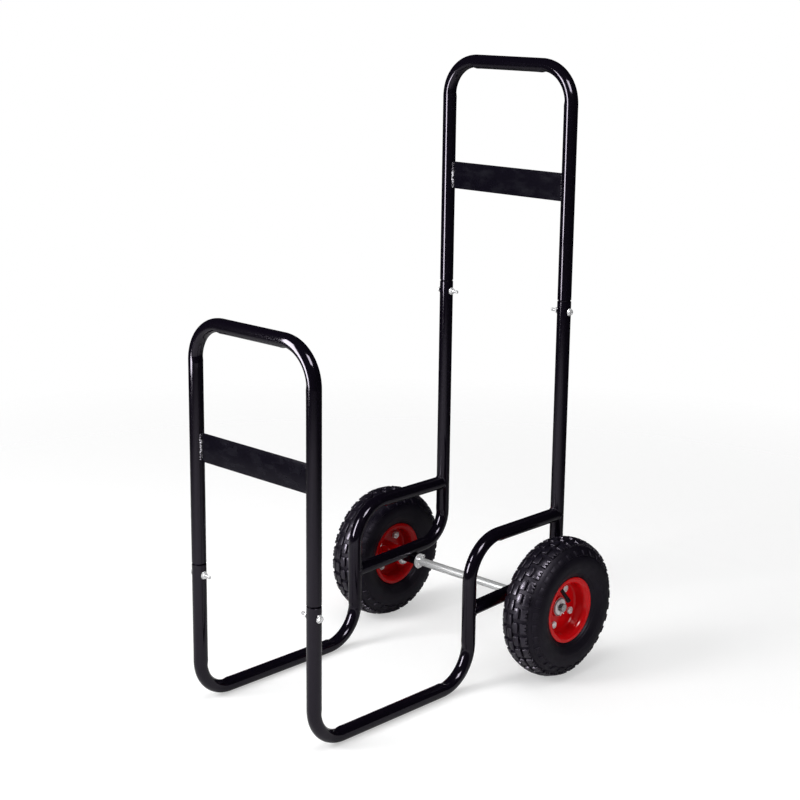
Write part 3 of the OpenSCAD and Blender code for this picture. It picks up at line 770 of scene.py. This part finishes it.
def split_pin():
    """Split pin in the plane x = 0: eye above the axle, two legs bent apart below it."""
    def leg(sign, end):
        top, fork, knee = (Vector((0, sign * PIN_LEG, z)) for z in (PIN_TOP, PIN_FORK, PIN_KNEE))
        tip = Vector((0, *end))
        return [top, fork] + bezier(fork, knee, knee.lerp(tip, 0.3), 5) + [tip]

    eye = [Vector((0, PIN_EYE_R * math.cos(math.radians(a)),
                   PIN_EYE_Z + PIN_EYE_R * math.sin(math.radians(a)))) for a in range(-72, 253, 12)]
    path = list(reversed(leg(1, PIN_ENDS[0]))) + eye + leg(-1, PIN_ENDS[1])
    return sweep(path, PIN_WIRE_R, 10)


def axle_piece(name, form, at, outer, node, smooth=EDGE_ANGLE):
    """Washer or pin on the axle; the outer ones take a brighter copy of the zinc, as painted light.
    """
    mesh_object(name, Shape().join(form, at), OUTER_ZINC_LIT if outer else ZINC, "frame",
                [node], smooth)


for tag, near in (("inner", SIDE_X - TUBE_R - SLEEVE_IN - SEAT_GAP),
                  ("thrust", WHEEL_X - HUB_IN - SEAT_GAP),
                  ("outer", node_box("outer_washers")[1].x)):
    low, high = node_box(f"{tag}_washers")
    for name, sign in SIDES:
        at = on_x(sign * (near - WASHER_T), AXLE_Y, AXLE_Z, sign)
        axle_piece(f"{name}_{tag}_washer", washer_form((high.z - low.z) / 2), at, tag == "outer",
                   f"{tag}_washers")

for tag, lean in (("inner", -48), ("outer", 7)):
    pin_x = node_box(f"{tag}_split_pins")[1].x - 2 * PIN_WIRE_R
    for name, sign in SIDES:
        at = on_x(sign * pin_x, AXLE_Y, AXLE_Z, sign, lean)
        axle_piece(f"{name}_{tag}_pin", split_pin(), at, tag == "outer", f"{tag}_split_pins",
                   BEAD_ANGLE)


# Wheels, drawn about their own centre with +u pointing outwards

SHEET_HALF = 1.0
DISC_U, HOLE_R, CORNER_R, CORNER_TO = 2.6, 19.95, 6, 43.8  # the disc and the corner at its edge
SEAT_R = 49.8
FLANGE_U, FLANGE_BEND, FLANGE_END = 20.5, 9.5, (30.0, 61.9)

LUGS = 30
LUG_PITCH = math.tau * WHEEL_R / LUGS
FIRST_LUG = {1: 2.4, -1: 8.4}  # angle of the first lug on each half
LUG_FILL, LOW_LUG_FILL = 0.7, 0.48  # share of the pitch
LUG_H, SIDE_LUG_H, LOW_LUG_H = 4.5, 4.0, 2.1
CROWN_R, CROWN_END = 55.0, 24  # and the angle at which the shoulder begins
CROWN = (0.0, WHEEL_R - LUG_H - CROWN_R)
BELLY_R, BELLY_START = 27, 42
BELLY = (16, WHEEL_R - 39)
SHOULDER_BOW = (0.9, 0.62, 0.78)  # depth, and its shares in u and r
WALL_U, WALL_R, WALL_END_R, WALL_STEPS = 1.5, 41.5, 62.4, 67
RIBS = ((100.5, 0.5), (84.0, 0.45), (81.6, 0.45), (70.6, 0.7), (66.8, 0.9))  # radius, height
RIB_HALF = 0.75
TYRE_BEAD = [(28.0, 61.6), (27.2, 58.6), (24.6, 54.6), (20.5, 51.4), (16.0, 52.2)]

RIM_BOLTS, RIM_HEAD_H, RIM_NUT_H = 4, 4.0, 6.4
RIM_THREAD = (9.0, 13.1)  # the part of a rim bolt that sticks out
STEM_U, CAP_OVER = 12, 6
CAP_LEN, CAP_R = 9, 4.5
CAP_POINTS, CAP_FLUTES = 60, 12


def rim_profile():
    """Closed section of one rim half: disc, rounded corner, bead seat, flange and rounded lip."""
    middle = [(DISC_U, HOLE_R), (DISC_U, 24.0), (DISC_U, CORNER_TO)]
    middle += arc(DISC_U + CORNER_R, CORNER_TO, CORNER_R, 180, 90, 10)[1:]
    middle += [(FLANGE_U, SEAT_R)]
    middle += arc(FLANGE_U, SEAT_R + FLANGE_BEND, FLANGE_BEND, -90, 0, 14)[1:]
    middle += [FLANGE_END]
    left, right = [], []
    for i, (u, r) in enumerate(middle):
        a = Vector(middle[max(i - 1, 0)])
        b = Vector(middle[min(i + 1, len(middle) - 1)])
        t = (b - a).normalized() * SHEET_HALF
        left.append((u - t.y, r + t.x))
        right.append((u + t.y, r - t.x))
    tip = arc(*FLANGE_END, SHEET_HALF, 180, 0, 8)[1:-1]
    return left + tip + list(reversed(right))


def offset_outline(outline, inset):
    """Moves a closed outline inwards by a distance, corner by corner."""
    out = []
    count = len(outline)
    for i, p in enumerate(outline):
        a = (Vector(p) - Vector(outline[i - 1])).normalized()
        b = (Vector(outline[(i + 1) % count]) - Vector(p)).normalized()
        na, nb = Vector((-a.y, a.x)), Vector((-b.y, b.x))
        m = (na + nb)
        if m.length < 1e-6:
            m = na
        m.normalize()
        out.append(tuple(Vector(p) + m * (inset / max(0.5, m.dot(na)))))
    return out


def block_outline(width, length, notches, rounded):
    """Outline of a tread block: a across the tread, outwards positive, and b round the wheel."""
    w, l = width / 2, length / 2
    near, far = 0.8, 2.6 if rounded else 0.9
    pts = []

    def eased(ca, cb, start, r):
        for k in range(4):
            a = math.radians(start + 30 * k)
            pts.append((ca + r * math.cos(a), cb + r * math.sin(a)))

    eased(-w + near, -l + near, 180, near)
    eased(w - far, -l + far, 270, far)
    if notches:
        for mid in (-l / 3, l / 3):
            pts.extend([(w, mid - 1.3), (w - notches, mid - 0.75), (w - notches, mid + 0.75),
                        (w, mid + 1.3)])
    eased(w - far, l - far, 0, far)
    eased(-w + near, l - near, 90, near)
    return pts


def add_block(shape, angle, half, centre, round_r, lean, height, width, length, notches=0.0,
              rounded=False):
    """One block on one half of the tyre, which follows the tyre's roundness both ways."""
    outline = block_outline(width, length, notches, rounded)
    lean = math.radians(lean)
    round_top = centre[1] + (round_r + height) * math.cos(lean)
    rings = []
    for inset, level in ((-0.9, -1.2), (-0.35, height * 0.25), (0.0, height - 0.55),
                         (0.22, height - 0.16), (0.6, height)):
        ring = []
        for a, b in offset_outline(outline, inset):
            tilt = lean + a / (round_r + height)
            u = centre[0] + (round_r + level) * math.sin(tilt)
            r = centre[1] + (round_r + level) * math.cos(tilt)
            turn = math.radians(angle) + b / round_top
            ring.append((half * u, r * math.cos(turn), r * math.sin(turn)))
        rings.append(ring)
    shape.add(rings, first_cap=False)


def from_top(centre, radius, degrees):
    """Point on a circle, at an angle from straight outwards towards +u."""
    a = math.radians(degrees)
    return (centre[0] + radius * math.sin(a), centre[1] + radius * math.cos(a))


def casing_profile():
    """Closed section of the casing, from the crown's middle line down both sides to the bead."""
    half = [(0.0, CROWN[1] + CROWN_R + 0.35), (0.45, CROWN[1] + CROWN_R)]
    half += [from_top(CROWN, CROWN_R, CROWN_END * i / 11) for i in range(1, 12)]
    leave, meet = half[-1], from_top(BELLY, BELLY_R, BELLY_START)
    bow, bow_u, bow_r = SHOULDER_BOW
    for i in range(1, 8):
        t = i / 8
        out = bow * math.sin(math.pi * t)
        half.append((leave[0] + (meet[0] - leave[0]) * t + bow_u * out,
                     leave[1] + (meet[1] - leave[1]) * t + bow_r * out))
    half += [from_top(BELLY, BELLY_R, BELLY_START + (90 - BELLY_START) * i / 14) for i in range(15)]
    for i in range(1, WALL_STEPS + 1):
        r = BELLY[1] - (BELLY[1] - WALL_END_R) * i / WALL_STEPS
        u = WALL_U + math.sqrt(WALL_R ** 2 - (r - BELLY[1]) ** 2)
        lift = sum(h * math.exp(-((r - rib_r) / RIB_HALF) ** 2) for rib_r, h in RIBS)
        half.append((u + lift * 0.8, r))
    half += TYRE_BEAD
    return half + [(-u, r) for u, r in reversed(half[1:])]


def tyre_forms():
    """Casing with moulded rings and its low lugs, and the four rows of tread blocks."""
    casing, low_lugs, blocks = lathe(casing_profile(), 240), Shape(), Shape()
    side_lean = math.degrees(math.asin(22.3 / (CROWN_R + SIDE_LUG_H)))
    for half, first in FIRST_LUG.items():
        for i in range(LUGS):
            angle = first + 360 / LUGS * i
            add_block(blocks, angle, half, CROWN, CROWN_R, lean=6.7, height=LUG_H, width=10.5,
                      length=LUG_FILL * LUG_PITCH, rounded=True)
            add_block(blocks, angle, half, CROWN, CROWN_R, side_lean, height=SIDE_LUG_H,
                      width=12.6, length=LUG_FILL * LUG_PITCH, notches=3.2)
            add_block(low_lugs, angle, half, BELLY, BELLY_R, lean=50.5, height=LOW_LUG_H,
                      width=11.0, length=LOW_LUG_FILL * LUG_PITCH)
    return casing.join(low_lugs), blocks


def knurled_cap(start):
    """Valve cap with flutes round it and a domed end, along u."""
    rings = []
    for u, r, flute in ((0, CAP_R * 0.8, 0), (0, CAP_R, 0), (0.8, CAP_R, 0), (1.4, CAP_R, 0.35),
                        (CAP_LEN - 2.2, CAP_R - 0.3, 0.35), (CAP_LEN - 1.6, CAP_R - 0.4, 0),
                        (CAP_LEN - 0.5, CAP_R - 0.9, 0), (CAP_LEN, CAP_R - 1.9, 0)):
        ring = []
        for k in range(CAP_POINTS):
            a = math.tau * k / CAP_POINTS
            rr = r - flute * (0.5 + 0.5 * math.cos(CAP_FLUTES * a))
            ring.append((start + u, rr * math.cos(a), rr * math.sin(a)))
        rings.append(ring)
    return Shape().add(rings)


def make_wheel(name, sign):
    """Tyre, rim halves, rim bolts and nuts, valve cap and the foot of the stem."""
    body = f"{name}_wheel"
    centre = on_x(sign * WHEEL_X, AXLE_Y, AXLE_Z, sign)
    spun = on_x(sign * WHEEL_X, AXLE_Y, AXLE_Z, sign, WHEEL_TURNS[name])
    casing, blocks = tyre_forms()
    mesh_object(f"{name}_tyre_casing", Shape().join(casing, centre), TYRE, body,
                [f"{name}_tyre"], smooth=TREAD_ANGLE)
    mesh_object(f"{name}_tread_blocks", Shape().join(blocks, centre), TREAD, body,
                smooth=TREAD_ANGLE)
    # The inner halves take the darker red, as painted shade.
    for tag, way, material in (("outer", 1, RED), ("inner", -1, RED_PAINTED_SHADE)):
        rim = lathe([(way * u, r) for u, r in rim_profile()], 160)
        mesh_object(f"{name}_{tag}_dish", Shape().join(rim, spun), material, body,
                    [f"{name}_{tag}_rim"])
    for i in range(RIM_BOLTS):
        at = (spun @ Matrix.Rotation(math.radians(360 / RIM_BOLTS * i), 4, "X")
              @ Matrix.Translation((0, RIM_BOLT_R, 0)))
        bolt = Shape().join(hex_form(RIM_HEX, RIM_HEAD_H, recess=1.1),
                            on_x(RIM_SEAT, 0, 0, 1, 20 + 13 * i))
        bolt.join(thread(*RIM_THREAD, RIM_BOLT_THREAD_R, RIM_PITCH), on_x(0, 0, 0, -1))
        mesh_object(f"{name}_rim_bolt_{i + 1}", Shape().join(bolt, at), ZINC, body,
                    [f"{name}_rim_bolts"])
        nut = Shape().join(hex_form(RIM_HEX, RIM_NUT_H, bore=RIM_BOLT_THREAD_R + 0.05),
                           on_x(-RIM_SEAT, 0, 0, -1, 8 + 19 * i))
        mesh_object(f"{name}_rim_nut_{i + 1}", Shape().join(nut, at), ZINC, body,
                    [f"{name}_rim_nuts"])
    stem = (spun @ Matrix.Rotation(math.radians(VALVE_ANGLE), 4, "X")
            @ Matrix.Translation((STEM_U, SEAT_R, 0))
            @ Matrix.Rotation(math.radians(STEM_LEAN), 4, "Z")
            @ Matrix.Rotation(math.radians(-90), 4, "Z"))
    cap = knurled_cap(STEM_LEN - CAP_OVER)
    mesh_object(f"{name}_knurled_cap", Shape().join(cap, stem), CAP_PLASTIC, body,
                [f"{name}_valve_cap"])
    grommet = lathe([(0.2, 3.8), (4.6, 3.8), (4.6, 4.6), (3.6, 5.3), (1.8, 6.3), (0.2, 6.6)], 48)
    mesh_object(f"{name}_stem_foot", Shape().join(grommet, stem), TUBE_RUBBER, body)


for name, sign in SIDES:
    make_wheel(name, sign)

for name, material in (
        ("axle", AXLE_ZINC), ("left_axle_sleeve", FRAME_PAINT), ("right_axle_sleeve", FRAME_PAINT),
        ("left_inner_tube", TUBE_RUBBER), ("right_inner_tube", TUBE_RUBBER), ("left_hub", RED),
        ("right_hub", RED), ("left_bearings", STEEL), ("right_bearings", STEEL)):
    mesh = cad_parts[name].data
    mesh.materials.clear()
    mesh.materials.append(material)


# Floor, world, lamps and camera, in metres

FLOOR_TONE, FLOOR_GLOW, SKY = 0.6, 0.44, 0.46
FLOOR_R, FLOOR_DROP, REFLECTED_TONE = 3.0, 0.0005, 0.86
CAMERA_SIDE, ACROSS = Vector((0.692, -0.722, 0)), Vector((0.722, 0.692, 0))


def make_floor():
    """Pale round floor that fades out at its edge. Reflections see it only inside a painted pool of
    light in front.
    """
    work = bmesh.new()
    bmesh.ops.create_circle(work, cap_ends=True, radius=FLOOR_R, segments=96)
    mesh = bpy.data.meshes.new("floor")
    work.to_mesh(mesh)
    work.free()
    obj = new_object("floor", mesh)
    obj.location.z = -FLOOR_DROP
    material, nodes, links, shader = node_tree("floor")
    shader.inputs["Roughness"].default_value = 0.9
    shader.inputs["Specular IOR Level"].default_value = 0.1
    shader.inputs["Emission Color"].default_value = (1, 1, 1, 1)
    place = nodes.new("ShaderNodeTexCoord").outputs["Object"]
    path = nodes.new("ShaderNodeLightPath").outputs
    reach = nodes.new("ShaderNodeVectorMath")
    reach.operation = "LENGTH"
    links.new(place, reach.inputs[0])
    seen_edge = spread(nodes, links, reach.outputs["Value"], 0.9, 2.4, 1.0, 0.0)
    far_edge = spread(nodes, links, reach.outputs["Value"], 2.2, FLOOR_R, 1.0, 0.0)
    # Painted pool of light: for reflections the floor is opaque only in a patch in front of the cart.
    front = spread(nodes, links, along(nodes, links, place, CAMERA_SIDE), -1.6, 0.8, 0.05, 1.0)
    off = combined(nodes, links, "ABSOLUTE",
                   combined(nodes, links, "ADD", along(nodes, links, place, ACROSS), 0.25))
    painted_light_pool = combined(nodes, links, "MULTIPLY", front,
                    spread(nodes, links, off, 0.6, 1.8, 0.86, 0.05))
    painted_light_pool = combined(nodes, links, "MULTIPLY", painted_light_pool, far_edge)
    links.new(mixed(nodes, links, seen_edge, painted_light_pool, path["Is Glossy Ray"]), shader.inputs["Alpha"])
    links.new(spread(nodes, links, path["Is Camera Ray"], 0.0, 1.0, REFLECTED_TONE, FLOOR_TONE),
              shader.inputs["Base Color"])
    links.new(spread(nodes, links, path["Is Camera Ray"], 0.0, 1.0, 0.0, FLOOR_GLOW),
              shader.inputs["Emission Strength"])
    mesh.materials.append(material)


def make_world():
    """White behind the object, an even soft light on it, and a dark studio in reflections."""
    world = bpy.data.worlds.new("studio")
    bpy.context.scene.world = world
    world.use_nodes = True
    nodes, links = world.node_tree.nodes, world.node_tree.links
    shade = nodes["Background"]
    path = nodes.new("ShaderNodeLightPath").outputs
    place = nodes.new("ShaderNodeTexCoord").outputs["Generated"]
    room = spread(nodes, links, along(nodes, links, place, CAMERA_SIDE), -0.4, 1.0, 0.006, 0.04)
    lit = mixed(nodes, links, SKY, room, path["Is Glossy Ray"])
    shade.inputs["Color"].default_value = (1, 1, 1, 1)
    links.new(mixed(nodes, links, lit, 1.0, path["Is Camera Ray"]), shade.inputs["Strength"])


def lamp(name, at, target, width, height, power, diffuse=True, glossy=True):
    """Soft box that can light surfaces only, or show in reflections only."""
    light = bpy.data.lights.new(name, "AREA")
    light.shape = "RECTANGLE"
    light.size, light.size_y = width, height
    light.energy = power
    obj = new_object(name, light)
    obj.location = at
    obj.rotation_euler = (Vector(target) - Vector(at)).to_track_quat("-Z", "Y").to_euler()
    obj.visible_diffuse, obj.visible_glossy = diffuse, glossy


def around(azimuth, distance, z):
    """Place at an azimuth measured from the front towards +X."""
    a = math.radians(azimuth)
    return (distance * math.sin(a), -distance * math.cos(a), z)


make_floor()
make_world()
lamp("front_soft", around(-22, 2.8, 1.9), (0, 0, 0.4), 1.2, 1.6, power=84, glossy=False)
lamp("top_soft", (0.3, -0.6, 2.7), (0, 0, 0.4), 1.6, 1.6, power=22, glossy=False)
lamp("right_fill", around(100, 2.6, 1.0), (0, 0, 0.6), 0.8, 1.6, power=5, glossy=False)
lamp("left_streak", (-0.475, -1.22, 0.945), (0, 0, 0.945), 0.41, 1.11, power=46, diffuse=False)
lamp("high_streak", (1.17, -0.45, 1.92), (0.1, 0, 0.8), 0.7, 0.7, power=34, diffuse=False)

CAMERA_AT = (2.0603657, -2.1621623, 1.2802221)
AZIMUTH, ELEVATION, ROLL = 43.7787, 13.575, 0.5842
FOCAL_PX, CENTRE_PX = 1694.0252, (388.4205, 383.6686)
PICTURE_PX, SENSOR_MM = 800, 36


def make_camera():
    """Camera as solved from the photo's outlines."""
    a, e, r = (math.radians(v) for v in (AZIMUTH, ELEVATION, ROLL))
    back = Vector((math.sin(a) * math.cos(e), -math.cos(a) * math.cos(e), math.sin(e)))
    right = Vector((math.cos(a), math.sin(a), 0))
    up = back.cross(right)
    x = right * math.cos(r) + up * math.sin(r)
    y = up * math.cos(r) - right * math.sin(r)
    camera = bpy.data.cameras.new("camera")
    camera.sensor_width = SENSOR_MM
    camera.lens = FOCAL_PX / PICTURE_PX * SENSOR_MM
    camera.shift_x = (PICTURE_PX / 2 - CENTRE_PX[0]) / PICTURE_PX
    camera.shift_y = (CENTRE_PX[1] - PICTURE_PX / 2) / PICTURE_PX
    obj = new_object("camera", camera)
    obj.matrix_world = Matrix.Translation(CAMERA_AT) @ Matrix((x, y, back)).transposed().to_4x4()
    bpy.context.scene.camera = obj


make_camera()
bpy.context.scene.view_settings.view_transform = "Standard"
